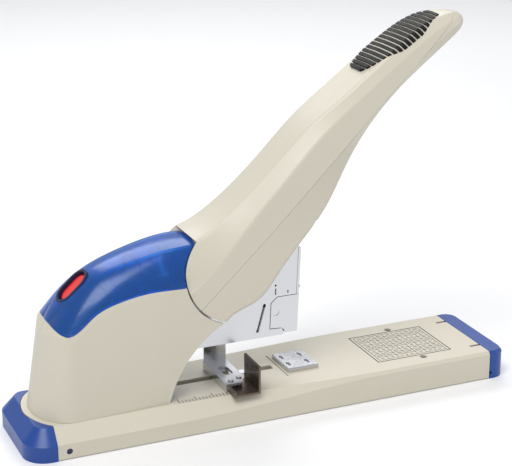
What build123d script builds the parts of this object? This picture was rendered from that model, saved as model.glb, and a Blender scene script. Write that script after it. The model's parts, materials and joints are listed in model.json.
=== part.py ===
from build123d import *
import os
from math import atan2, cos, degrees, hypot, radians, sin, tan

os.makedirs("parts", exist_ok=True)

# A heavy-duty desk stapler. +X runs along the base to the anvil end, +Z is up, and the origin is the
# centre of the underside. All lengths are in millimetres and all angles in degrees.

# ---- driving dimensions ----
base_length = 287.0
base_width = 64.0
base_height = 17.0
base_wall = 2.6
mat_thickness = 1.2
cap_proud = 1.5
seam = 0.15

shoulder_rear_height = 9.0
shoulder_rear_width = 50.0
shoulder_front_height = 15.2
shoulder_front_width = 61.0
shoulder_rise_from = -63.0
shoulder_rise_to = 67.0

front_cap_from = 134.0
rear_cap_to = -129.0
column_x = -116.0
column_foot = (19.1, 25.2, 20.0)

anvil_x = 22.5
anvil_size = (19.0, 23.0)
anvil_top = 19.3
staple_x = 15.9
chart_x = 90.6
chart_screw_offset = 22.0

pivot_x = -21.2
pivot_z = 88.1
handle_tilt = 42.9
handle_swing = 45.0
handle_pin_r = 4.0
bulb_r = 30.3
bulb_core_r = 25.4
bulb_core_half = 12.0
cheek_y = 22.0
shell_wall = 2.5

head_pivot_x = -112.0
head_pivot_z = 46.0
head_swing = 9.2
head_pin_r = 3.0
head_half = 10.0
head_sheet = 1.2
head_bottom = 40.6
head_top = 92.0
head_front = 18.8
front_lean = 2.4
head_clear = 0.4

drive_travel = 15.6
drive_arm_s = 47.1
drive_arm_v = -9.1
roller_r = 5.0
roller_pin_r = 2.48

frame_inner = 12.0
frame_sheet = 2.0

button_slope = 42.0
button_x = -107.4
button_z = 82.9
button_size = (18.6, 11.6)

running = 0.05
UP_Y = (0, 1, 0)


# ---- shared geometry ----
def side_face(points, y=0.0):
    """A straight-sided outline in X and Z, standing in the plane at this Y."""
    with BuildSketch(Plane.XZ.offset(-y)) as profile:
        with BuildLine():
            Polyline(*points, close=True)
        make_face()
    return profile.sketch


def side_disc(x, z, radius, y=0.0):
    """A round outline in X and Z, standing in the plane at this Y."""
    with BuildSketch(Plane.XZ.offset(-y)) as profile:
        with Locations((x, z)):
            Circle(radius)
    return profile.sketch


def lean(x, z):
    """A point of the head's front group, which leans forward with height."""
    return (x + (z - head_bottom) * tan(radians(front_lean)), z)


def arm(s, v):
    """A point of the handle: s runs from the pivot to the tip, v is square to it, upwards."""
    c = cos(radians(handle_tilt))
    n = sin(radians(handle_tilt))
    return (pivot_x + s * c - v * n, pivot_z + s * n + v * c)


def arm_face(points, y=0.0):
    return side_face([arm(s, v) for s, v in points], y)


def arm_disc(s, v, radius, y=0.0):
    x, z = arm(s, v)
    return side_disc(x, z, radius, y)


def smooth(t):
    t = min(max(t, 0.0), 1.0)
    return t * t * (3.0 - 2.0 * t)


pivot_axis = Axis((pivot_x, 0, pivot_z), (0, 1, 0))


def bulb_disc(gap):
    """The round end of the handle about its pivot: a narrower core between two larger cheeks."""
    core = bulb_core_r + gap
    rim = bulb_r + gap
    reach = 40.0
    with BuildSketch(Plane((pivot_x, 0, pivot_z), x_dir=(0, 1, 0), z_dir=(1, 0, 0))) as half:
        with BuildLine():
            Polyline(
                (-reach, 0),
                (reach, 0),
                (reach, rim),
                (cheek_y - 2.0, rim),
                (bulb_core_half, core),
                (-bulb_core_half, core),
                (2.0 - cheek_y, rim),
                (-reach, rim),
                close=True,
            )
        make_face()
    with BuildPart() as disc:
        revolve(half.sketch, axis=pivot_axis)
    return disc.part


# ---- base ----
def base_section(x, inset):
    """The base across its length: flat top, sloping shoulders, upright sides."""
    rise = smooth((x - shoulder_rise_from) / (shoulder_rise_to - shoulder_rise_from))
    height = shoulder_rear_height + (shoulder_front_height - shoulder_rear_height) * rise
    flat = (shoulder_rear_width + (shoulder_front_width - shoulder_rear_width) * rise) / 2
    side = base_width / 2 - inset
    top = base_height - inset
    low = 0.0 if inset else 0.5
    with BuildSketch(Plane.YZ.offset(x)) as section:
        with BuildLine():
            Polyline(
                (-side, low),
                (side, low),
                (side, height - inset / 2),
                (flat - inset / 2, top),
                (inset / 2 - flat, top),
                (-side, height - inset / 2),
                close=True,
            )
        make_face()
    return section.sketch


def base_form(x_from, x_to, inset):
    """The base's outer or inner form between two places along it."""
    steps = 8
    rise = shoulder_rise_to - shoulder_rise_from
    stations = [x_from] + [shoulder_rise_from + rise * i / steps for i in range(steps + 1)] + [x_to]
    with BuildPart() as form:
        loft([base_section(x, inset) for x in stations], ruled=True)
    return form.part


def column_section(z, back, half, front, inset):
    """The column in plan at this height: a blunt half ellipse behind, straight sides in front."""
    side = half - inset
    with BuildSketch(Plane.XY.offset(z)) as section:
        with BuildLine():
            Line((0, inset - front), (column_x, -side))
            EllipticalCenterArc((column_x, 0), back - inset, side, start_angle=90, arc_size=180)
            Line((column_x, side), (0, front - inset))
            Line((0, front - inset), (0, inset - front))
        make_face()
    return section.sketch


def column_plan(margin):
    """The column's footprint with a margin round it, as a tall cutter."""
    with BuildPart() as cutter:
        extrude(column_section(0.0, *column_foot, -margin), amount=base_height + 5)
    return cutter.part


def cap_form(x_from, x_to, corner, shoulder, lean_in):
    """An end cap before it is hollowed: upright to the shoulder, leaning in above it."""
    outward = 1 if x_to > 0 else -1
    reach = 2 * corner + 4
    with BuildSketch(Plane.XY) as plan:
        with Locations((x_to - outward * reach / 2, 0)):
            RectangleRounded(reach, base_width + 0.4, corner)
    with BuildPart() as form:
        extrude(plan.sketch, amount=shoulder)
        upper = Location((0, 0, shoulder)) * plan.sketch
        extrude(upper, amount=base_height - shoulder, taper=lean_in)
        with Locations((x_from - outward * 50, 0, 0)):
            Box(100, base_width + 8, 80, mode=Mode.SUBTRACT)
    return form.part


base_end = base_length / 2
cap_end = base_end + cap_proud
base_outside = base_form(-base_end - 2, front_cap_from - 2 * seam, 0.0)
base_inside = base_form(-122.0, 130.0, base_wall)
rim_on_base = column_plan(3.4).intersect(base_outside)

guide_slot = (-61.0, 7.6, 5.0)
side_screw = (-122.6, 4.6)
boss_places = [(-100, 18), (-100, -18), (-20, 22), (-20, -22), (chart_x + 4, 22), (chart_x + 4, -22)]

with BuildPart() as base_shell:
    add(base_outside)
    with Locations((rear_cap_to + seam - 10, 0, 10)):
        Box(20, base_width + 4, 30, mode=Mode.SUBTRACT)
    add(rim_on_base)
    add(base_inside, mode=Mode.SUBTRACT)
    for x, y in boss_places:
        with Locations((x, y, (base_height + 3.4) / 2)):
            Cylinder(3.6, base_height - 3.4)
    # guide slot on the centreline, and the groove that sets the anvil line
    with Locations(((guide_slot[0] + guide_slot[1]) / 2, 0, base_height)):
        Box(guide_slot[1] - guide_slot[0], guide_slot[2], 12, mode=Mode.SUBTRACT)
    with Locations((11.0, 0, base_height)):
        Box(0.9, 31, 1.4, mode=Mode.SUBTRACT)
    # anvil opening
    with Locations((anvil_x, 0, base_height)):
        Box(anvil_size[0] + 0.2, anvil_size[1] + 0.2, 12, mode=Mode.SUBTRACT)
    # screw wells beside the chart, latch slots at the front cap, side screw wells at the rear
    for y in (-chart_screw_offset, chart_screw_offset):
        with Locations((chart_x + 4, y, base_height)):
            Cylinder(2.1, 5, mode=Mode.SUBTRACT)
        with Locations((front_cap_from - 3.4, y * 0.9, base_height - 0.8)):
            Box(6.8, 2.0, 2.0, mode=Mode.SUBTRACT)
    extrude(side_disc(*side_screw, 1.7, -base_width / 2), amount=1.3, dir=UP_Y, mode=Mode.SUBTRACT)
    extrude(side_disc(*side_screw, 1.7, base_width / 2), amount=1.3, dir=(0, -1, 0), mode=Mode.SUBTRACT)
base_shell.part.label = "base_shell"
export_step(base_shell.part, "parts/base_shell.step")

with BuildPart() as base_plate:
    with BuildSketch(Plane.XY.offset(mat_thickness)):
        Rectangle(2 * 121.0, 57.0)
    extrude(amount=1.5)
base_plate.part.label = "base_plate"
export_step(base_plate.part, "parts/base_plate.step")

with BuildPart() as base_mat:
    with BuildSketch(Plane.XY):
        RectangleRounded(236.0, 50.0, 6.0)
    extrude(amount=mat_thickness)
base_mat.part.label = "base_mat"
export_step(base_mat.part, "parts/base_mat.step")

with BuildPart() as base_screws:
    for x, y in boss_places[:4]:
        with Locations((x, y, 3.05)):
            Cylinder(2.9, 0.7)
base_screws.part.label = "base_screws"
export_step(base_screws.part, "parts/base_screws.step")

with BuildPart() as chart_screws:
    for y in (-chart_screw_offset, chart_screw_offset):
        with Locations((chart_x + 4, y, base_height - 1.9)):
            Cylinder(2.0, 1.2)
        with Locations((chart_x + 4, y, base_height - 1.4)):
            Box(2.6, 0.7, 0.6, mode=Mode.SUBTRACT)
            Box(0.7, 2.6, 0.6, mode=Mode.SUBTRACT)
chart_screws.part.label = "chart_screws"
export_step(chart_screws.part, "parts/chart_screws.step")

with BuildPart() as side_screws:
    for y, out in ((-base_width / 2, -1), (base_width / 2, 1)):
        extrude(side_disc(*side_screw, 1.6, y - out * 1.2), amount=0.9, dir=(0, out, 0))
side_screws.part.label = "side_screws"
export_step(side_screws.part, "parts/side_screws.step")

with BuildPart() as front_cap:
    add(cap_form(front_cap_from, cap_end, 8.0, shoulder_front_height, 40.0))
    with Locations((front_cap_from + 3.0, 0, base_height / 2 - 2.6)):
        Box(9.0, base_width - 8.0, base_height - 5.0, mode=Mode.SUBTRACT)
    with Locations((front_cap_from + 0.6, -base_width / 2, 3.6)):
        Box(1.6, 3.0, 1.6, mode=Mode.SUBTRACT)
front_cap.part.label = "front_cap"
export_step(front_cap.part, "parts/front_cap.step")

with BuildPart() as rear_cap:
    add(cap_form(rear_cap_to, -cap_end, 13.0, shoulder_rear_height, 41.0))
    add(column_plan(3.4 + 2 * seam), mode=Mode.SUBTRACT)
    with Locations((-base_end + 8.0, -23.0, 5.0), (-base_end + 8.0, 23.0, 5.0)):
        Box(7.0, 8.0, 10.1, mode=Mode.SUBTRACT)
rear_cap.part.label = "rear_cap"
export_step(rear_cap.part, "parts/rear_cap.step")

with BuildPart() as anvil_plate:
    with Locations((anvil_x, 0, (anvil_top + 13.5) / 2)):
        Box(anvil_size[0], anvil_size[1], anvil_top - 13.5)
    chamfer(anvil_plate.faces().sort_by(Axis.Z)[-1].edges(), 0.5)
    for dx in (0.0, 11.6):
        for y in (-5.0, 5.0):
            with BuildSketch(Plane.XY.offset(anvil_top)):
                with Locations((staple_x + dx, y)):
                    SlotOverall(5.4, 2.0, rotation=90)
            extrude(amount=-0.8, mode=Mode.SUBTRACT)
anvil_plate.part.label = "anvil_plate"
export_step(anvil_plate.part, "parts/anvil_plate.step")

with BuildPart() as anvil_block:
    with Locations((anvil_x, 0, (13.4 + 2.8) / 2)):
        Box(26.0, 30.0, 13.4 - 2.8)
anvil_block.part.label = "anvil_block"
export_step(anvil_block.part, "parts/anvil_block.step")

# ---- paper guide, which slides along the slot ----
fence_sheet = 1.2
with BuildPart() as guide_fence:
    # lip behind, plate on the base, stop in front
    with Locations((-20.8, -21.4, base_height + 0.4 + fence_sheet / 2)):
        Box(15.6, 20.4, fence_sheet)
    with Locations((-28.0, -21.4, base_height + 0.4 + 1.6)):
        Box(fence_sheet, 20.4, 3.2)
    with Locations((-13.6, -21.4, base_height + 0.4 + 8.1)):
        Box(fence_sheet, 20.4, 16.2)
guide_fence.part.label = "guide_fence"
export_step(guide_fence.part, "parts/guide_fence.step")

carrier_top = 22.0
rivet_places = [(-25.4, -18.6), (-19.6, -16.0)]
rivet_r = 1.5
with BuildPart() as guide_carrier:
    with BuildSketch(Plane.XY.offset(carrier_top - 1.4)):
        with BuildLine():
            Polyline(
                (-29.8, -22.6),
                (-20.1, -22.6),
                (-16.2, -13.6),
                (-16.2, 12.2),
                (-29.8, 12.2),
                close=True,
            )
        make_face()
        with Locations((-22.8, -4.8)):
            SlotOverall(12.0, 5.5, rotation=90, mode=Mode.SUBTRACT)
        with Locations(*rivet_places):
            Circle(rivet_r + 0.02, mode=Mode.SUBTRACT)
    extrude(amount=1.4)
    # flange turned down behind, and the tall cheek on the far side of the head
    with Locations((-29.2, -5.2, (carrier_top + base_height + 0.4) / 2)):
        Box(1.2, 34.8, carrier_top - base_height - 0.4)
    with Locations((-22.9, 11.6, (carrier_top + 38.0) / 2 - 0.7)):
        Box(13.4, 1.2, 38.0 - carrier_top + 1.4)
guide_carrier.part.label = "guide_carrier"
export_step(guide_carrier.part, "parts/guide_carrier.step")

with BuildPart() as guide_slider:
    with Locations((-14.9, 0, base_height - 0.4)):
        Box(28.6, guide_slot[2] - 0.3, 1.6)
    with Locations((-14.9, 0, base_height - 4.3)):
        Box(28.6, 13.0, 2.4)
    with Locations((-14.9, 0, base_height - 2.2)):
        Box(28.6, guide_slot[2] - 0.3, 2.2)
    with Locations((-24.0, 0, base_height + 1.9)):
        Box(8.0, 4.0, 3.2)
guide_slider.part.label = "guide_slider"
export_step(guide_slider.part, "parts/guide_slider.step")

with BuildPart() as guide_rivets:
    for x, y in rivet_places:
        with Locations((x, y, (base_height + 1.6 + carrier_top + 0.7) / 2)):
            Cylinder(rivet_r, carrier_top + 0.7 - base_height - 1.6)
guide_rivets.part.label = "guide_rivets"
export_step(guide_rivets.part, "parts/guide_rivets.step")


# ---- steel frame of the column ----
frame_low = base_height
head_pivot = (head_pivot_x, head_pivot_z)
frame_outline = [
    (-122.0, frame_low),
    (-66.5, frame_low),
    (-62.0, 30.0),
    (-52.5, 42.5),
    (-41.5, 53.0),
    (-30.0, 62.0),
    (-21.2, 76.2),
    (-10.8, 82.1),
    (-9.2, 88.1),
    (-12.8, 96.6),
    (-21.2, 100.1),
    (-30.0, 96.2),
    (-41.0, 81.5),
    (-52.0, 77.0),
    (-86.0, 76.0),
    (-112.0, 62.0),
    (-124.0, 44.0),
]
spacer_places = [(-117.0, 27.0), (-76.0, 24.0), (-66.0, 71.0)]
spacer_r = 3.0
frame_nodes = {}
for side, hand in (("near", -1), ("far", 1)):
    inner = frame_inner * hand
    with BuildPart() as frame_side:
        extrude(side_face(frame_outline, inner), amount=frame_sheet, dir=(0, hand, 0))
        for x, z, r in [(pivot_x, pivot_z, handle_pin_r), (*head_pivot, head_pin_r)]:
            extrude(side_disc(x, z, r + 0.02, inner - hand), amount=9, dir=(0, hand, 0), mode=Mode.SUBTRACT)
        for x, z in spacer_places:
            extrude(side_disc(x, z, 1.6, inner - hand), amount=9, dir=(0, hand, 0), mode=Mode.SUBTRACT)
        with Locations((-94.0, (frame_inner + 3.7) * hand, frame_low + frame_sheet / 2)):
            Box(50.0, 7.4, frame_sheet)
    frame_nodes[side] = frame_side

frame_nodes["near"].part.label = "frame_near"
export_step(frame_nodes["near"].part, "parts/frame_near.step")
frame_nodes["far"].part.label = "frame_far"
export_step(frame_nodes["far"].part, "parts/frame_far.step")

with BuildPart() as frame_spacers:
    for x, z in spacer_places:
        extrude(side_disc(x, z, spacer_r, 0), amount=frame_inner - 0.02, both=True, dir=UP_Y)
        extrude(side_disc(x, z, 1.58, 0), amount=frame_inner + frame_sheet + 1.0, both=True, dir=UP_Y)
frame_spacers.part.label = "frame_spacers"
export_step(frame_spacers.part, "parts/frame_spacers.step")

with BuildPart() as frame_screws:
    for x in (-112.0, -76.0):
        for y in (-16.8, 16.8):
            with Locations((x, y, frame_low + frame_sheet + 1.0)):
                Cylinder(2.4, 2.0)
frame_screws.part.label = "frame_screws"
export_step(frame_screws.part, "parts/frame_screws.step")

with BuildPart() as handle_pin:
    extrude(side_disc(pivot_x, pivot_z, handle_pin_r, 0), amount=19.0, both=True, dir=UP_Y)
handle_pin.part.label = "handle_pin"
export_step(handle_pin.part, "parts/handle_pin.step")

with BuildPart() as head_pin:
    extrude(side_disc(*head_pivot, head_pin_r, 0), amount=15.6, both=True, dir=UP_Y)
    for hand in (-1, 1):
        extrude(side_disc(*head_pivot, 4.6, 14.2 * hand), amount=1.2, dir=(0, hand, 0))
head_pin.part.label = "head_pin"
export_step(head_pin.part, "parts/head_pin.step")

# ---- plastic housing round the column, and its translucent cover ----
def roof_section(x, flat, top, crease, inset):
    """The column across: upright sides up to the crease, a curved shoulder, a crowned top."""
    a = flat - inset * 0.4
    t = top - inset
    w = 22.7 - inset
    wide = 26.5
    middle = ((a + w) / 2 + 1.6, (t + crease) / 2 + 1.2 - inset * 0.3)
    with BuildSketch(Plane.YZ.offset(x)) as section:
        with BuildLine():
            Polyline(
                (-w, crease),
                (-wide, crease - 30),
                (-wide, 0),
                (wide, 0),
                (wide, crease - 30),
                (w, crease),
            )
            ThreePointArc((w, crease), middle, (a, t))
            ThreePointArc((a, t), (0, t + 1.2), (-a, t))
            ThreePointArc((-a, t), (-middle[0], middle[1]), (-w, crease))
        make_face()
    return section.sketch


def column_form(inset, foot):
    """The column's outer or inner form, closed, before the handle's room is taken out of it."""
    plan = [(foot, *column_foot), (71.0, 9.6, 23.2, 22.7), (112.0, 5.0, 22.6, 22.6)]
    roof = [
        (-146.0, 3.0, 46.0, 40.0),
        (-123.0, 5.2, 67.6, 60.8),
        (-104.0, 9.2, 87.4, 74.4),
        (-86.0, 10.6, 95.4, 80.3),
        (-64.0, 12.2, 100.8, 82.4),
        (-42.0, 12.6, 102.4, 82.0),
        (-10.0, 12.6, 103.0, 82.0),
    ]
    with BuildPart() as form:
        loft([column_section(*row, inset) for row in plan], ruled=True)
        loft([roof_section(*row, inset) for row in roof], mode=Mode.INTERSECT)
    return form.part


housing_foot = base_height + 0.1
with BuildSketch(Plane.XZ) as housing_side:
    with BuildLine():
        Polyline(
            (-20.0, 58.4),
            (-20.0, 120.0),
            (-150.0, 120.0),
            (-150.0, housing_foot),
            (-62.8, housing_foot),
        )
        Spline((-62.8, housing_foot), (-57.6, 30.6), (-45.6, 47.2), (-30.5, 58.4))
        Line((-30.5, 58.4), (-20.0, 58.4))
    make_face()


def cover_zone(gap):
    """Everything above the line where the translucent cover meets the housing, in side view."""
    with BuildSketch(Plane.XZ) as zone:
        with BuildLine():
            Polyline(
                (-152.0, 84.0 + gap),
                (-152.0, 125.0),
                (0.0, 125.0),
                (0.0, 82.0 + gap),
                (-52.0, 82.0 + gap),
            )
            Spline(
                (-52.0, 82.0 + gap),
                (-72.6, 82.2 + gap),
                (-89.3, 79.6 + gap),
                (-103.1, 74.2 + gap),
                (-111.6, 67.4 + gap),
                (-117.4, 64.8 + gap),
                (-122.4, 66.0 + gap),
                (-127.0, 71.0 + gap),
                tangents=[(-1, 0), (-1, 1)],
            )
            Line((-127.0, 71.0 + gap), (-152.0, 84.0 + gap))
        make_face()
    with BuildPart() as cutter:
        extrude(zone.sketch, amount=60, both=True)
    return cutter.part


housing_wall = 2.3
column_outside = column_form(0.0, housing_foot)
column_inside = column_form(housing_wall, housing_foot - 2)
handle_room = bulb_disc(1.1)
above_seam = cover_zone(seam)
above_line = cover_zone(0.0)

with BuildPart() as column_shell:
    add(column_outside)
    add(column_inside, mode=Mode.SUBTRACT)
    extrude(housing_side.sketch, amount=60, both=True, mode=Mode.INTERSECT)
    add(handle_room, mode=Mode.SUBTRACT)

housing_screw_places = [(-108.0, 34.0, 8.2), (-72.0, 34.0, 6.6), (-72.0, 66.0, 6.6)]
housing_nodes = {}
for side, hand in (("near", -1), ("far", 1)):
    with BuildPart() as housing_half:
        add(column_shell.part)
        add(above_line, mode=Mode.SUBTRACT)
        with Locations((-75, hand * (50 + seam / 2), 60)):
            Box(200, 100, 160, mode=Mode.INTERSECT)
        for x, z, depth in housing_screw_places:
            extrude(side_disc(x, z, 3.4, hand * 15.0), amount=depth, dir=(0, hand, 0))
    housing_nodes[side] = housing_half

housing_nodes["near"].part.label = "housing_near"
export_step(housing_nodes["near"].part, "parts/housing_near.step")
housing_nodes["far"].part.label = "housing_far"
export_step(housing_nodes["far"].part, "parts/housing_far.step")

# ---- button in the cover ----
slope = radians(button_slope)
button_plane = Plane(
    (button_x, 0, button_z), x_dir=(cos(slope), 0, sin(slope)), z_dir=(-sin(slope), 0, cos(slope))
)
button_travel = 2.2
stem_r = 1.7
stem_low = 30.3
cup_top = 9.2
cup_floor = 16.0


def button_face(grow, depth):
    """The button's oval, this much larger all round, this far below the cover's surface."""
    with BuildSketch(button_plane.offset(-depth)) as oval:
        SlotOverall(button_size[0] + 2 * grow, button_size[1] + 2 * grow)
    return oval.sketch


with BuildPart() as top_cover:
    add(column_shell.part)
    add(above_seam, mode=Mode.INTERSECT)
    extrude(button_face(1.9, -6.0), amount=-14, mode=Mode.SUBTRACT)
top_cover.part.label = "top_cover"
export_step(top_cover.part, "parts/top_cover.step")

with BuildPart() as button_sleeve:
    extrude(button_face(1.7, -2.4), amount=-11.4)
    extrude(button_face(0.4, -3.0), amount=-14, mode=Mode.SUBTRACT)
button_sleeve.part.label = "button_sleeve"
export_step(button_sleeve.part, "parts/button_sleeve.step")

with BuildPart() as release_button:
    extrude(button_face(0.0, -0.8), amount=-7.0)
    fillet(release_button.faces().sort_by(Axis.Z)[-1].edges(), 1.6)
    with BuildSketch(button_plane.offset(-6.2)):
        Circle(stem_r)
    extrude(amount=6.2 - stem_low)
release_button.part.label = "release_button"
export_step(release_button.part, "parts/release_button.step")


def coil(plane, radius, wire, height, turns):
    """A coil spring: a round wire on a helix, standing on this plane."""
    with BuildPart() as spring:
        with BuildLine():
            path = Helix(pitch=height / turns, height=height, radius=radius)
        with BuildSketch(Plane(path @ 0, z_dir=path % 0)):
            Circle(wire / 2)
        sweep(path=path)
    return plane.location * spring.part


with BuildPart() as button_spring:
    add(coil(button_plane.offset(0.45 - cup_floor), 3.0, 0.7, cup_floor - 7.3, 4))
button_spring.part.label = "button_spring"
export_step(button_spring.part, "parts/button_spring.step")

# cup under the sleeve: holds the button's spring and guides its stem
with BuildPart() as button_cup:
    extrude(button_face(1.8, cup_top), amount=-(cup_floor + 2.0 - cup_top))
    extrude(button_face(0.7, cup_top - 1.0), amount=-(cup_floor + 1.0 - cup_top), mode=Mode.SUBTRACT)
    with BuildSketch(button_plane.offset(1.0 - cup_floor)):
        Circle(stem_r + 0.4)
    extrude(amount=-5, mode=Mode.SUBTRACT)
button_cup.part.label = "button_cup"
export_step(button_cup.part, "parts/button_cup.step")


# ---- head: a sheet-steel channel hinged at the back of the column ----
nose_top = 63.4
seam_gap = 0.35
nose_outline = [
    lean(head_front, 41.4),
    lean(head_front, nose_top),
    (6.6, nose_top),
    (2.9, 60.2),
    (2.2, 45.2),
    (9.1, 44.8),
    (10.9, 43.2),
    (10.9, 41.4),
]
head_outline = [
    (-104.0, head_bottom),
    (10.3, head_bottom),
    (10.3, 42.8),
    (8.9, 44.4),
    (1.8, 44.8),
    (2.5, 60.4),
    (6.4, nose_top + seam_gap),
    lean(head_front - 1.7, nose_top + seam_gap),
    lean(head_front - 1.7, head_top),
    (-8.0, head_top),
    (-14.0, 80.0),
    (-30.0, 68.0),
    (-92.0, 60.0),
    (-114.0, 56.0),
    (-121.0, 46.0),
    (-114.0, 38.0),
]
slot_low = (-5.5, 44.8)
slot_high = (-1.3, 59.8)
head_web = [(-80.0, 60.2), (-30.0, 66.7), (-30.4, 67.9), (-80.4, 61.4)]


def plate_slot(low, high, width, y):
    """A round-ended slot in a side plate between two points."""
    length = hypot(high[0] - low[0], high[1] - low[1])
    turn = degrees(atan2(high[1] - low[1], high[0] - low[0]))
    with BuildSketch(Plane.XZ.offset(-y)) as profile:
        with Locations(((low[0] + high[0]) / 2, (low[1] + high[1]) / 2)):
            SlotCenterToCenter(length, width, rotation=turn)
    return profile.sketch


with BuildPart() as head_frame:
    for hand in (-1, 1):
        wall = (head_half - head_sheet) * hand
        extrude(side_face(head_outline, wall), amount=head_sheet, dir=(0, hand, 0))
    extrude(side_face(head_web, 0), amount=head_half, both=True, dir=UP_Y)
    through = 12.0
    for opening in (
        plate_slot(slot_low, slot_high, 1.7, 0),
        plate_slot((5.5, 65.4), (5.5, 68.3), 0.8, 0),
        plate_slot((13.0, 65.4), (13.0, 66.6), 0.7, 0),
        side_disc(5.5, 70.5, 0.6),
        side_disc(*head_pivot, head_pin_r + running),
    ):
        extrude(opening, amount=through, both=True, dir=UP_Y, mode=Mode.SUBTRACT)
head_frame.part.label = "head_frame"
export_step(head_frame.part, "parts/head_frame.step")

with BuildPart() as front_plate:
    front_outline = [
        lean(head_front - 1.5, nose_top + seam_gap),
        lean(head_front, nose_top + seam_gap),
        lean(head_front, head_top - 1.0),
        lean(head_front - 1.5, head_top - 1.0),
    ]
    extrude(side_face(front_outline, 0), amount=head_half, both=True, dir=UP_Y)
    for y in (-9.4, 9.4):
        bump_x, bump_z = lean(head_front, 68.0)
        with Locations((bump_x, y, bump_z)):
            Sphere(0.9)
front_plate.part.label = "front_plate"
export_step(front_plate.part, "parts/front_plate.step")

with BuildPart() as head_bushes:
    for hand in (-1, 1):
        extrude(side_disc(*head_pivot, 6.0, (head_half + 0.15) * hand), amount=1.6, dir=(0, hand, 0))
    extrude(side_disc(*head_pivot, head_pin_r + running), amount=20, both=True, dir=UP_Y, mode=Mode.SUBTRACT)
head_bushes.part.label = "head_bushes"
export_step(head_bushes.part, "parts/head_bushes.step")

# ---- driver: blade and ram, sliding down the front of the head ----
blade_back = 14.9
blade_sheet = 1.1
blade_low = head_bottom + drive_travel + 0.8
ram_low = 76.0
ram_top = 108.0
with BuildPart() as driver_blade:
    blade_outline = [
        lean(blade_back, blade_low),
        lean(blade_back + blade_sheet, blade_low),
        lean(blade_back + blade_sheet, ram_top - 6.0),
        lean(blade_back, ram_top - 6.0),
    ]
    extrude(side_face(blade_outline, 0), amount=6.6, both=True, dir=UP_Y)
driver_blade.part.label = "driver_blade"
export_step(driver_blade.part, "parts/driver_blade.step")

with BuildPart() as driver_ram:
    ram_outline = [
        lean(-3.0, ram_low),
        lean(blade_back - 0.1, ram_low),
        lean(blade_back - 0.1, ram_top - 5.8),
        lean(blade_back + 1.6, ram_top - 5.8),
        lean(blade_back + 1.8, ram_top),
        lean(6.0, ram_top),
        lean(-3.0, 94.0),
    ]
    extrude(side_face(ram_outline, 0), amount=8.2, both=True, dir=UP_Y)
driver_ram.part.label = "driver_ram"
export_step(driver_ram.part, "parts/driver_ram.step")

# ---- drawer: nose, magazine channel, core, staples and the rod for the pusher ----
drawer_back = -80.0
drawer_front = 14.3
channel_low = 41.4
catch_top = 52.9
with BuildPart() as magazine:
    with Locations(((drawer_back + drawer_front) / 2, 0, channel_low + 0.5)):
        Box(drawer_front - drawer_back, 16.4, 1.0)
    for y in (-7.7, 7.7):
        with Locations(((drawer_back + drawer_front) / 2, y, (channel_low + 58.0) / 2)):
            Box(drawer_front - drawer_back, 1.0, 58.0 - channel_low)
    with Locations((drawer_back + 0.6, 0, (channel_low + catch_top) / 2)):
        Box(1.2, 16.4, catch_top - channel_low)
magazine.part.label = "magazine"
export_step(magazine.part, "parts/magazine.step")

with BuildPart() as magazine_core:
    with Locations(((drawer_back + drawer_front + 1.4) / 2, 0, (channel_low + 1.05 + 47.4) / 2)):
        Box(drawer_front - drawer_back - 1.6, 9.6, 47.4 - channel_low - 1.05)
magazine_core.part.label = "magazine_core"
export_step(magazine_core.part, "parts/magazine_core.step")

with BuildPart() as drawer_nose:
    nose_front = [
        lean(head_front - 1.5, 41.4),
        lean(head_front, 41.4),
        lean(head_front, nose_top),
        lean(head_front - 1.5, nose_top),
    ]
    extrude(side_face(nose_front, 0), amount=head_half, both=True, dir=UP_Y)
    for hand in (-1, 1):
        wall = (head_half - head_sheet) * hand
        extrude(side_face(nose_outline, wall), amount=head_sheet, dir=(0, hand, 0))
    extrude(side_disc(5.5, 54.5, 2.1), amount=12, both=True, dir=UP_Y, mode=Mode.SUBTRACT)
drawer_nose.part.label = "drawer_nose"
export_step(drawer_nose.part, "parts/drawer_nose.step")

with BuildPart() as nose_rivets:
    for hand in (-1, 1):
        extrude(side_disc(5.5, 54.5, 2.05, 8.22 * hand), amount=1.5, dir=(0, hand, 0))
nose_rivets.part.label = "nose_rivets"
export_step(nose_rivets.part, "parts/nose_rivets.step")

staple_wire = 0.7
staple_count = 24
staple_leg = 11.2
with BuildPart() as staple_strip:
    strip_length = staple_count * 1.02
    strip_middle = drawer_front - strip_length / 2 - 0.2
    crown_z = channel_low + 1.3 + staple_leg
    with Locations((strip_middle, 0, crown_z)):
        Box(strip_length, 12.7, staple_wire)
    for y in (-6.0, 6.0):
        with Locations((strip_middle, y, crown_z - staple_leg / 2)):
            Box(strip_length, staple_wire, staple_leg)
    for i in range(1, staple_count):
        with Locations((strip_middle - strip_length / 2 + i * 1.02, 0, crown_z)):
            Box(0.12, 14, 0.9, mode=Mode.SUBTRACT)
    with Locations((strip_middle, 0, crown_z - 0.25)):
        Box(strip_length, 12.4, 0.3)
staple_strip.part.label = "staple_strip"
export_step(staple_strip.part, "parts/staple_strip.step")

rod_z = 50.2
rod_r = 1.25


def rod_disc(x, radius):
    """A round outline about the pusher rod's line, at this place along it."""
    with BuildSketch(Plane.YZ.offset(x)) as profile:
        with Locations((0, rod_z)):
            Circle(radius)
    return profile.sketch


with BuildPart() as pusher_rod:
    extrude(rod_disc(drawer_back + 1.2, rod_r), amount=66.0)
pusher_rod.part.label = "pusher_rod"
export_step(pusher_rod.part, "parts/pusher_rod.step")

pusher_front = strip_middle - strip_length / 2 - 0.4
pusher_length = 12.0
with BuildPart() as pusher:
    with Locations((pusher_front - pusher_length / 2, 0, 51.6)):
        Box(pusher_length, 13.2, 6.6)
    for y in (-6.0, 6.0):
        with Locations((pusher_front - pusher_length / 2, y, 46.0)):
            Box(pusher_length, 1.4, 5.4)
    extrude(rod_disc(pusher_front + 1.0, rod_r + running), amount=-pusher_length - 2.0, mode=Mode.SUBTRACT)
pusher.part.label = "pusher"
export_step(pusher.part, "parts/pusher.step")

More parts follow.
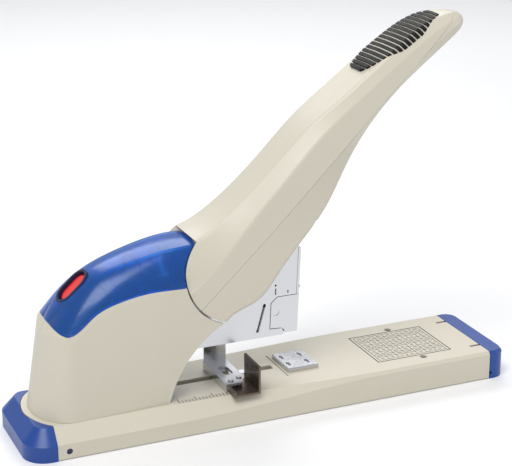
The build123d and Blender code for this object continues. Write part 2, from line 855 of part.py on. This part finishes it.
spring_back = drawer_back + 1.6
spring_length = pusher_front - pusher_length - 0.6 - spring_back
spring_seat = Plane((spring_back, 0, rod_z), x_dir=(0, 1, 0), z_dir=(1, 0, 0))
with BuildPart() as pusher_spring:
    add(coil(spring_seat, 2.1, 0.5, spring_length, 22))
pusher_spring.part.label = "pusher_spring"
export_step(pusher_spring.part, "parts/pusher_spring.step")

# latch lever on the head, which holds the drawer shut until the button is pressed
latch_pivot = (-84.4, 53.2)
latch_outline = [
    (-92.4, 56.0),
    (-88.0, 55.2),
    (-87.4, 51.6),
    (-84.4, 50.2),
    (-81.6, 51.6),
    (-80.6, 53.3),
    (-77.0, 53.3),
    (-76.4, 54.6),
    (-78.0, 56.0),
    (-84.4, 56.6),
    (-92.4, 57.2),
]
with BuildPart() as latch:
    extrude(side_face(latch_outline, 0), amount=6.0, both=True, dir=UP_Y)
    extrude(side_disc(*latch_pivot, 1.55), amount=8, both=True, dir=UP_Y, mode=Mode.SUBTRACT)
latch.part.label = "latch"
export_step(latch.part, "parts/latch.step")

with BuildPart() as latch_pin:
    extrude(side_disc(*latch_pivot, 1.5), amount=8.7, both=True, dir=UP_Y)
latch_pin.part.label = "latch_pin"
export_step(latch_pin.part, "parts/latch_pin.step")

# spring that lifts the head again
lift_x = -96.0
lift_wire = 1.3
lift_low = base_height + 0.75
with BuildPart() as lift_spring:
    add(coil(Plane((lift_x, 0, lift_low)), 6.0, lift_wire, head_bottom - 0.75 - lift_low, 6))
lift_spring.part.label = "lift_spring"
export_step(lift_spring.part, "parts/lift_spring.step")

# ---- handle: two shells round a steel lever ----
# Sections square to the handle's line, from the pivot end to the tip. Each is
# (place along it, top half-width, top, shoulder half-width, shoulder, side half-width,
#  underside half-width, underside, rounding).
handle_sections = [
    (-34.0, 16.0, 33.0, 22.0, 14.0, 22.0, 21.6, -23.0, 2.5),
    (-6.0, 15.5, 28.4, 22.0, 10.5, 22.0, 21.6, -22.8, 2.5),
    (10.0, 13.4, 23.6, 21.9, 12.2, 22.0, 21.4, -22.0, 2.5),
    (32.0, 11.8, 21.6, 21.3, 14.2, 21.6, 20.0, -19.4, 2.5),
    (58.0, 11.6, 21.6, 20.0, 15.0, 20.4, 16.6, -17.6, 2.5),
    (84.0, 12.6, 21.8, 18.4, 15.0, 18.8, 13.0, -10.6, 2.5),
    (110.0, 13.6, 18.9, 17.0, 12.6, 17.4, 11.0, -5.6, 2.2),
    (135.0, 13.4, 16.4, 16.0, 9.6, 16.3, 10.4, -4.6, 2.2),
    (158.0, 12.2, 13.0, 14.9, 6.6, 15.2, 9.6, -6.8, 2.2),
    (174.4, 9.8, 7.8, 12.8, 2.4, 13.1, 8.4, -9.0, 2.0),
    (184.4, 6.2, 1.0, 9.0, -2.4, 9.3, 6.0, -9.9, 1.4),
    (188.6, 2.4, -3.8, 3.6, -5.2, 3.8, 2.6, -8.4, 0.5),
]
handle_seam = 0.08
spine = (cos(radians(handle_tilt)), 0, sin(radians(handle_tilt)))


def handle_section(row, grow):
    """The handle across its length: crowned top, sloping shoulders, sides and underside."""
    s, flat, top, wide, crease, side, narrow, under, rounding = row
    middle = min(0.0, crease - 0.4 * (crease - under))
    x, z = arm(s, 0.0)
    corners = [
        (flat + grow * 0.5, top + grow),
        (wide + grow, crease + grow * 0.5),
        (side + grow, middle),
        (narrow + grow * 0.8, under - grow),
    ]
    ridge = (0, top + grow + 0.06 * flat)
    right = [rounding, rounding, 0, rounding]
    with BuildSketch(Plane((x, 0, z), x_dir=(0, 1, 0), z_dir=spine)) as section:
        with BuildLine():
            FilletPolyline(
                *corners,
                *[(-y, v) for y, v in reversed(corners)],
                ridge,
                radius=[*right, *reversed(right), 2.0 * flat],
                close=True,
            )
        make_face()
    return section.sketch


def handle_body(grow, rows):
    with BuildPart() as body:
        loft([handle_section(row, grow) for row in rows])
    return body.part


# everything behind the pivot is turned about it, so that it clears the column all the way down
front_of_bulb = [(-5.0, -60.0), (230.0, -60.0), (230.0, 60.0), (-5.0, 60.0)]
hollow_to = 168.0
open_below_to = 50.0
rear_opening = [(0, 0), (-34.6, 20.0), (-50.0, -10.0), (-50.0, -45.0), (4.0, -45.0)]

with BuildPart() as handle_limit:
    add(bulb_disc(0.0))
    extrude(arm_face(front_of_bulb), amount=60, both=True, dir=UP_Y)

with BuildPart() as handle_outside:
    add(handle_body(0.0, handle_sections))
    add(handle_limit.part, mode=Mode.INTERSECT)

inner_rows = [row for row in handle_sections if row[0] <= hollow_to]
hollow_reach = [(-2.5, -60), (150, -60), (150, 7.2), (135, 9.6), (114, 11.6), (110, 60), (-2.5, 60)]
open_below = [(-2.5, 0.0), (open_below_to, 0.0), (open_below_to - 3.0, -60.0), (-2.5, -60.0)]
inner_half = cheek_y - shell_wall - 0.2
with BuildPart() as hollow_limit:
    extrude(arm_face(hollow_reach), amount=60, both=True, dir=UP_Y)
    extrude(side_disc(pivot_x, pivot_z, bulb_core_r - 2.4), amount=60, both=True, dir=UP_Y)

with BuildPart() as handle_hollow:
    add(handle_body(-shell_wall, inner_rows))
    add(hollow_limit.part, mode=Mode.INTERSECT)
    # the underside is open round the head, and the back is open round the frame
    extrude(arm_face(open_below), amount=inner_half - 1.2, both=True, dir=UP_Y)
    extrude(arm_face(rear_opening), amount=inner_half, both=True, dir=UP_Y)

above_handle_seam = [(-60, handle_seam), (230, handle_seam), (230, 70), (-60, 70)]
below_handle_seam = [(-60, -handle_seam), (230, -handle_seam), (230, -70), (-60, -70)]
boss_inner = 16.7
with BuildPart() as handle_shell:
    add(handle_outside.part)
    add(handle_hollow.part, mode=Mode.SUBTRACT)
    for hand in (-1, 1):
        extrude(side_disc(pivot_x, pivot_z, 8.0, boss_inner * hand), amount=4.0, dir=(0, hand, 0))
        extrude(
            side_disc(pivot_x, pivot_z, handle_pin_r + running, boss_inner * hand - hand),
            amount=20.4 - boss_inner,
            dir=(0, hand, 0),
            mode=Mode.SUBTRACT,
        )

# rubber ribs of the grip, let into the top
rib_count = 18
rib_from = 125.6
rib_pitch = 3.05
rib_width = 2.15
grip_centre = rib_from + rib_pitch * (rib_count - 1) / 2
grip_half_length = 29.5
grip_half_width = 14.3
grip_x, grip_z = arm(grip_centre, 0.0)
grip_plane = Plane((grip_x, 0, grip_z), x_dir=spine, z_dir=(-spine[2], 0, spine[0]))
grip_bed = [(110, 60), (110, 15.6), (135, 13.4), (158, 9.8), (174, 4.6), (190, -5.0), (190, 60)]
grip_rows = [row for row in handle_sections if row[0] > 100.0]

with BuildSketch(grip_plane) as grip_plan:
    Ellipse(grip_half_length, grip_half_width)
    with GridLocations(rib_pitch, 0, rib_count, 1):
        Rectangle(rib_width, 60, mode=Mode.INTERSECT)

with BuildPart() as grip_slots:
    extrude(grip_plan.sketch, amount=40)
    extrude(arm_face(grip_bed), amount=60, both=True, dir=UP_Y, mode=Mode.INTERSECT)

with BuildPart() as grip_ribs:
    add(grip_slots.part)
    add(handle_body(0.7, grip_rows), mode=Mode.INTERSECT)
grip_ribs.part.label = "grip_ribs"
export_step(grip_ribs.part, "parts/grip_ribs.step")

with BuildPart() as handle_upper:
    add(handle_shell.part)
    extrude(arm_face(above_handle_seam), amount=60, both=True, dir=UP_Y, mode=Mode.INTERSECT)
    add(grip_slots.part, mode=Mode.SUBTRACT)
handle_upper.part.label = "handle_upper"
export_step(handle_upper.part, "parts/handle_upper.step")

with BuildPart() as handle_lower:
    add(handle_shell.part)
    extrude(arm_face(below_handle_seam), amount=60, both=True, dir=UP_Y, mode=Mode.INTERSECT)
handle_lower.part.label = "handle_lower"
export_step(handle_lower.part, "parts/handle_lower.step")

# steel lever inside the handle, with the roller that drives the ram
lever_inner = 14.5
lever_sheet = 1.6
lever_outline = [
    (-9.0, -6.0),
    (-4.0, -10.0),
    (8.0, -10.5),
    (36.0, -10.8),
    (44.0, -13.6),
    (51.0, -13.2),
    (54.0, -9.0),
    (58.0, -5.0),
    (64.0, -1.0),
    (74.0, 1.0),
    (74.0, 9.0),
    (18.0, 11.0),
    (6.0, 10.4),
    (-5.0, 10.0),
    (-10.0, 4.0),
]
lever_web = [(18.0, 9.4), (74.0, 7.4), (74.0, 9.0), (18.0, 11.0)]
with BuildPart() as handle_lever:
    for hand in (-1, 1):
        extrude(arm_face(lever_outline, lever_inner * hand), amount=lever_sheet, dir=(0, hand, 0))
    extrude(arm_face(lever_web), amount=lever_inner + 0.1, both=True, dir=UP_Y)
    for hole in (
        side_disc(pivot_x, pivot_z, handle_pin_r + running),
        arm_disc(drive_arm_s, drive_arm_v, roller_pin_r + 0.02),
    ):
        extrude(hole, amount=30, both=True, dir=UP_Y, mode=Mode.SUBTRACT)
handle_lever.part.label = "handle_lever"
export_step(handle_lever.part, "parts/handle_lever.step")

with BuildPart() as roller_pin:
    pin_half = lever_inner + lever_sheet + 0.6
    extrude(arm_disc(drive_arm_s, drive_arm_v, roller_pin_r), amount=pin_half, both=True, dir=UP_Y)
roller_pin.part.label = "roller_pin"
export_step(roller_pin.part, "parts/roller_pin.step")

with BuildPart() as drive_roller:
    extrude(arm_disc(drive_arm_s, drive_arm_v, roller_r), amount=9.0, both=True, dir=UP_Y)
    roller_bore = arm_disc(drive_arm_s, drive_arm_v, roller_pin_r + running)
    extrude(roller_bore, amount=10.0, both=True, dir=UP_Y, mode=Mode.SUBTRACT)
drive_roller.part.label = "drive_roller"
export_step(drive_roller.part, "parts/drive_roller.step")

# return spring of the handle, wound round its pin
pin_plane = Plane((pivot_x, -9.0, pivot_z), x_dir=(1, 0, 0), z_dir=(0, 1, 0))
with BuildPart() as handle_spring:
    add(coil(pin_plane, 6.2, 1.6, 18.0, 7))
handle_spring.part.label = "handle_spring"
export_step(handle_spring.part, "parts/handle_spring.step")
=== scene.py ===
import json
from math import cos, radians, sin

import bpy
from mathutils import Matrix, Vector


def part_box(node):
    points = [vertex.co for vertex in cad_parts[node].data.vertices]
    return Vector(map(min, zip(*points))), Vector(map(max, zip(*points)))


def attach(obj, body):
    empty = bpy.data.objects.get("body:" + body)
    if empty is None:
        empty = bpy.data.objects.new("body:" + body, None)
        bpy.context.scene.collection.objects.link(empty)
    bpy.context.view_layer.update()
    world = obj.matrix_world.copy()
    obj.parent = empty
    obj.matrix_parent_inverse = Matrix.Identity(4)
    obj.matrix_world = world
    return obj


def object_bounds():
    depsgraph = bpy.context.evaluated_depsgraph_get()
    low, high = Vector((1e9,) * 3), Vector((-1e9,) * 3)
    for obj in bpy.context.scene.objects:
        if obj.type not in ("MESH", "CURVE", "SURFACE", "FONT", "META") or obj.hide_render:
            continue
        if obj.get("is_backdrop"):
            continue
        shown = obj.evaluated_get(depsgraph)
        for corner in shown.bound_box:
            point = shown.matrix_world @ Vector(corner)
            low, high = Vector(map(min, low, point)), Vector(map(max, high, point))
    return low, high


MM = 0.001

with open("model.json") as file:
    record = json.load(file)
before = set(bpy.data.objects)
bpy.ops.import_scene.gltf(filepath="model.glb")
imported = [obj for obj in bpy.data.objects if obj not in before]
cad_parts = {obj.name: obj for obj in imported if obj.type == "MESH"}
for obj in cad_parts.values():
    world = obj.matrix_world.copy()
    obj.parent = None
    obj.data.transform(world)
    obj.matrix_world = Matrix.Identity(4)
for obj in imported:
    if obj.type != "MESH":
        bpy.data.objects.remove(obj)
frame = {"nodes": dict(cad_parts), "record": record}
cad_low, cad_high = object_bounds()
nodes = frame["nodes"]


# ---- materials ----
NOISE_RANGE = {"From Min": 0.3, "From Max": 0.7}  # where most of a noise texture's values lie


def set_inputs(shader, values):
    for name, value in values.items():
        shader.inputs[name].default_value = value


def noise(tree, scale, detail, rough=0.55):
    """Noise in the object's own coordinates, so that it stays put as a piece moves."""
    coords = tree.nodes.new("ShaderNodeTexCoord")
    texture = tree.nodes.new("ShaderNodeTexNoise")
    set_inputs(texture, {"Scale": scale, "Detail": detail, "Roughness": rough})
    tree.links.new(coords.outputs["Object"], texture.inputs["Vector"])
    return texture


def finish(
    name,
    color,
    roughness,
    metallic=0.0,
    grain=900.0,
    bump=0.05,
    wear=0.06,
    tint=0.04,
    stretch=None,
    **extra,
):
    """A surface with fine grain, slow changes of gloss and a slight change of tone."""
    mat = bpy.data.materials.new(name)
    mat.use_nodes = True
    tree = mat.node_tree
    shader = tree.nodes["Principled BSDF"]
    set_inputs(shader, {"Metallic": metallic, **extra})

    slow = noise(tree, 28.0, 4.0)
    gloss = tree.nodes.new("ShaderNodeMapRange")
    set_inputs(gloss, {**NOISE_RANGE, "To Min": roughness - wear, "To Max": roughness + wear})
    tree.links.new(slow.outputs["Fac"], gloss.inputs["Value"])
    tree.links.new(gloss.outputs["Result"], shader.inputs["Roughness"])

    if tint:
        tone = tree.nodes.new("ShaderNodeMapRange")
        set_inputs(tone, {**NOISE_RANGE, "To Min": 1.0 - tint, "To Max": 1.0 + tint})
        tree.links.new(noise(tree, 11.0, 3.0).outputs["Fac"], tone.inputs["Value"])
        scaled = tree.nodes.new("ShaderNodeVectorMath")
        scaled.operation = "SCALE"
        scaled.inputs[0].default_value = color
        tree.links.new(tone.outputs["Result"], scaled.inputs["Scale"])
        tree.links.new(scaled.outputs["Vector"], shader.inputs["Base Color"])
    else:
        shader.inputs["Base Color"].default_value = (*color, 1.0)

    if bump:
        fine = noise(tree, grain, 3.0, 0.6)
        if stretch:
            lanes = tree.nodes.new("ShaderNodeMapping")
            lanes.inputs["Scale"].default_value = stretch
            tree.links.new(fine.inputs["Vector"].links[0].from_socket, lanes.inputs["Vector"])
            tree.links.new(lanes.outputs["Vector"], fine.inputs["Vector"])
        dents = tree.nodes.new("ShaderNodeBump")
        set_inputs(dents, {"Strength": bump, "Distance": 0.0006})
        tree.links.new(fine.outputs["Fac"], dents.inputs["Height"])
        tree.links.new(dents.outputs["Normal"], shader.inputs["Normal"])
    return mat


BRUSHED_X = (0.06, 1.0, 1.0)
BRUSHED = {"metallic": 1.0, "stretch": BRUSHED_X}
CLEAR = {"Transmission Weight": 0.78, "IOR": 1.38}
FINISHES = {
    "cream_plastic": ((0.585, 0.545, 0.445), 0.42, dict(grain=1400, bump=0.10, tint=0.02)),
    "blue_clear": ((0.030, 0.230, 0.78), 0.20, dict(wear=0.04, bump=0.01, tint=0.03, **CLEAR)),
    "blue_plastic": ((0.005, 0.052, 0.27), 0.34, dict(wear=0.05, tint=0.03)),
    "red_plastic": ((0.80, 0.020, 0.018), 0.20, dict(wear=0.03, bump=0.02, **{"Coat Weight": 0.3})),
    "dark_plastic": ((0.010, 0.018, 0.060), 0.40, {}),
    "rib_rubber": ((0.004, 0.004, 0.004), 0.58, dict(bump=0.12, **{"Specular IOR Level": 0.25})),
    "mat_rubber": ((0.03, 0.03, 0.032), 0.72, dict(bump=0.35, grain=700)),
    "plated_steel": ((0.66, 0.67, 0.69), 0.20, dict(grain=1500, bump=0.03, wear=0.05, **BRUSHED)),
    "zinc_steel": ((0.56, 0.57, 0.58), 0.34, dict(grain=1100, bump=0.06, wear=0.08, **BRUSHED)),
    "spring_steel": ((0.30, 0.30, 0.31), 0.32, dict(metallic=1.0)),
    "bronze_plate": (
        (0.150, 0.118, 0.088),
        0.30,
        dict(metallic=0.85, grain=1200, wear=0.08, stretch=BRUSHED_X),
    ),
    "staple_wire": ((0.70, 0.71, 0.72), 0.22, dict(metallic=1.0, bump=0.03)),
    "ink": ((0.012, 0.011, 0.011), 0.60, dict(bump=0.0)),
    "floor": ((0.86, 0.86, 0.86), 0.62, dict(bump=0.0, tint=0.0)),
}
materials = {
    name: finish(name, color, roughness, **rest)
    for name, (color, roughness, rest) in FINISHES.items()
}
for part in frame["record"]["subparts"]:
    piece = nodes[part["node"]]
    for held in piece.material_slots:
        held.material = materials[part["material_slot"]]


# ---- pieces that Blender adds, laid out in millimetres from the base moulding's front top edge ----
base_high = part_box("base_shell")[1]
FRONT = base_high.x / MM
SIDE = base_high.y / MM
TOP = base_high.z / MM
BOX_FACES = ((0, 1, 3, 2), (4, 6, 7, 5), (0, 4, 5, 1), (2, 3, 7, 6), (0, 2, 6, 4), (1, 5, 7, 3))


def add_piece(name, verts, faces, material):
    """A piece fixed to the base, from corners in millimetres."""
    mesh = bpy.data.meshes.new(name)
    mesh.from_pydata([tuple(v * MM for v in corner) for corner in verts], [], faces)
    mesh.materials.append(materials[material])
    obj = bpy.data.objects.new(name, mesh)
    bpy.context.scene.collection.objects.link(obj)
    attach(obj, "base")


def add_bars(name, bars):
    """Square-edged dark bars, each (low corner, high corner), joined into one piece."""
    verts, faces = [], []
    for low, high in bars:
        start = len(verts)
        verts += [
            (x, y, z)
            for x in (low[0], high[0])
            for y in (low[1], high[1])
            for z in (low[2], high[2])
        ]
        faces += [[start + i for i in face] for face in BOX_FACES]
    add_piece(name, verts, faces, "ink")


def printed(x0, x1, y0, y1):
    """A printed bar on the base's top, sunk a little into it."""
    return ((x0, y0, TOP - 0.05), (x1, y1, TOP + 0.06))


# capacity chart: a frame round ruled columns and rows, with short marks in place of figures
FRAME_LINE = 0.6
RULE_LINE = 0.28
MARK_HIGH = 0.5
MARK_LENGTHS = (0.9, 1.4, 1.9)  # half lengths
CHART_INSET = 2.2
COLUMNS = 7
ROWS = 9
x0, x1 = FRONT - 67.2, FRONT - 18.9
y1 = SIDE - 12.7
y0 = -y1
chart = [
    printed(x0, x1, y0, y0 + FRAME_LINE),
    printed(x0, x1, y1 - FRAME_LINE, y1),
    printed(x0, x0 + FRAME_LINE, y0, y1),
    printed(x1 - FRAME_LINE, x1, y0, y1),
]
x0, x1 = x0 + CHART_INSET, x1 - CHART_INSET
y0, y1 = y0 + CHART_INSET, y1 - CHART_INSET
column_step = (x1 - x0) / COLUMNS
row_step = (y1 - y0) / ROWS
for i in range(COLUMNS + 1):
    x = x0 + i * column_step
    chart.append(printed(x - RULE_LINE / 2, x + RULE_LINE / 2, y0, y1))
for j in range(ROWS + 1):
    y = y0 + j * row_step
    chart.append(printed(x0, x1, y - RULE_LINE / 2, y + RULE_LINE / 2))
for i in range(COLUMNS):
    for j in range(ROWS):
        x = x0 + (i + 0.5) * column_step
        y = y0 + (j + 0.5) * row_step
        half = MARK_LENGTHS[(i * 3 + j * 5) % 3]
        chart.append(printed(x - half, x + half, y - MARK_HIGH / 2, y + MARK_HIGH / 2))
add_bars("chart_print", chart)

# depth scale beside the guide, with a longer line at every fifth step
SCALE_LINES = 15
SCALE_STEP = 2.0
SCALE_LINE = 0.45
ticks = []
for i in range(SCALE_LINES):
    x = FRONT - 191.7 + SCALE_STEP * i
    y = -SIDE + 7.0
    reach = 5.4 if i % 5 == 0 else 3.2
    ticks.append(printed(x, x + SCALE_LINE, y, y + reach))
add_bars("depth_scale", ticks)

# dark bars sunk in the two latch slots beside the front cap: painted shade inside the slots
SLOT_HALF = 0.9
slot_shades = []
for side in (-1, 1):
    y = side * (SIDE - 12.2)
    low = (FRONT - 6.3, y - SLOT_HALF, TOP - 1.7)
    high = (FRONT + 0.1, y + SLOT_HALF, TOP - 0.6)
    slot_shades.append((low, high))
add_bars("latch_slot_painted_shade", slot_shades)

RIB_STEPS = 14
RIB_DEPTH = 2.2
RIB_HALF = 0.6


def cover_rib(name, x, half, top, crease, side):
    """A thin arched rib inside the clear cover: flat over +-half, then down to crease at +-side."""
    outer = []
    for i in range(RIB_STEPS + 1):
        t = -1.0 + 2.0 * i / RIB_STEPS
        past_flat = max(0.0, (abs(t) * side - half) / (side - half))
        outer.append((t * side, top - (top - crease) * past_flat**1.7))
    inner = [(y * (1.0 - RIB_DEPTH / side), z - RIB_DEPTH) for y, z in outer]
    ring = outer + inner[::-1]
    count = len(ring)
    verts = [(x + offset, y, z) for offset in (-RIB_HALF, RIB_HALF) for y, z in ring]
    faces = []
    for a in range(RIB_STEPS):
        b, c, d = a + 1, count - 2 - a, count - 1 - a
        faces.append((a, b, c, d))
        faces.append((count + d, count + c, count + b, count + a))
    for i in range(count):
        j = (i + 1) % count
        faces.append((i, count + i, count + j, j))
    add_piece(name, verts, faces, "blue_plastic")


cover_rib("cover_rib_rear", FRONT - 223.7, 8.0, TOP + 74.4, TOP + 63.6, 19.6)
cover_rib("cover_rib_middle", FRONT - 207.7, 9.0, TOP + 78.8, TOP + 66.2, 19.8)
cover_rib("cover_rib_front", FRONT - 191.7, 9.6, TOP + 81.6, TOP + 66.6, 20.0)

# ---- floor, light and camera ----
floor_mesh = bpy.data.meshes.new("floor")
FLOOR_REACH = 4.0
floor_corners = [(x * FLOOR_REACH, y * FLOOR_REACH, 0) for x, y in ((-1, -1), (1, -1), (1, 1), (-1, 1))]
floor_mesh.from_pydata(floor_corners, [], [(0, 1, 2, 3)])
floor_mesh.materials.append(materials["floor"])
floor = bpy.data.objects.new("floor", floor_mesh)
bpy.context.scene.collection.objects.link(floor)
floor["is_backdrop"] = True

centre = (cad_low + cad_high) / 2


def area_light(name, place, size, power):
    light = bpy.data.lights.new(name, "AREA")
    light.shape = "RECTANGLE"
    light.size, light.size_y = size
    light.energy = power
    obj = bpy.data.objects.new(name, light)
    obj.location = centre + Vector(place)
    obj.rotation_euler = (obj.location - centre).to_track_quat("Z", "Y").to_euler()
    bpy.context.scene.collection.objects.link(obj)


area_light("key", (-0.55, -0.55, 1.25), (0.9, 0.7), 15.0)
area_light("fill", (1.2, -0.5, 0.5), (1.0, 1.0), 2.5)
area_light("rim", (0.3, 1.1, 0.9), (1.2, 0.6), 8.0)

world = bpy.data.worlds.new("studio")
world.use_nodes = True
set_inputs(world.node_tree.nodes["Background"], {"Color": (0.95, 0.96, 1.0, 1.0), "Strength": 0.55})
bpy.context.scene.world = world

# solved from the base's corners in the photograph
azimuth = radians(-23.6)
elevation = radians(18.9)
back = Vector((sin(azimuth) * cos(elevation), -cos(azimuth) * cos(elevation), sin(elevation)))
camera_data = bpy.data.cameras.new("camera")
camera_data.lens = 107.1
camera_data.sensor_width = 36.0
camera_data.clip_start = 0.01
camera = bpy.data.objects.new("camera", camera_data)
camera.location = (-0.321, -0.730, 0.372)
camera.rotation_euler = back.to_track_quat("Z", "Y").to_euler()
bpy.context.scene.collection.objects.link(camera)
bpy.context.scene.camera = camera

bpy.context.scene.view_settings.view_transform = "Standard"

low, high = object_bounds()
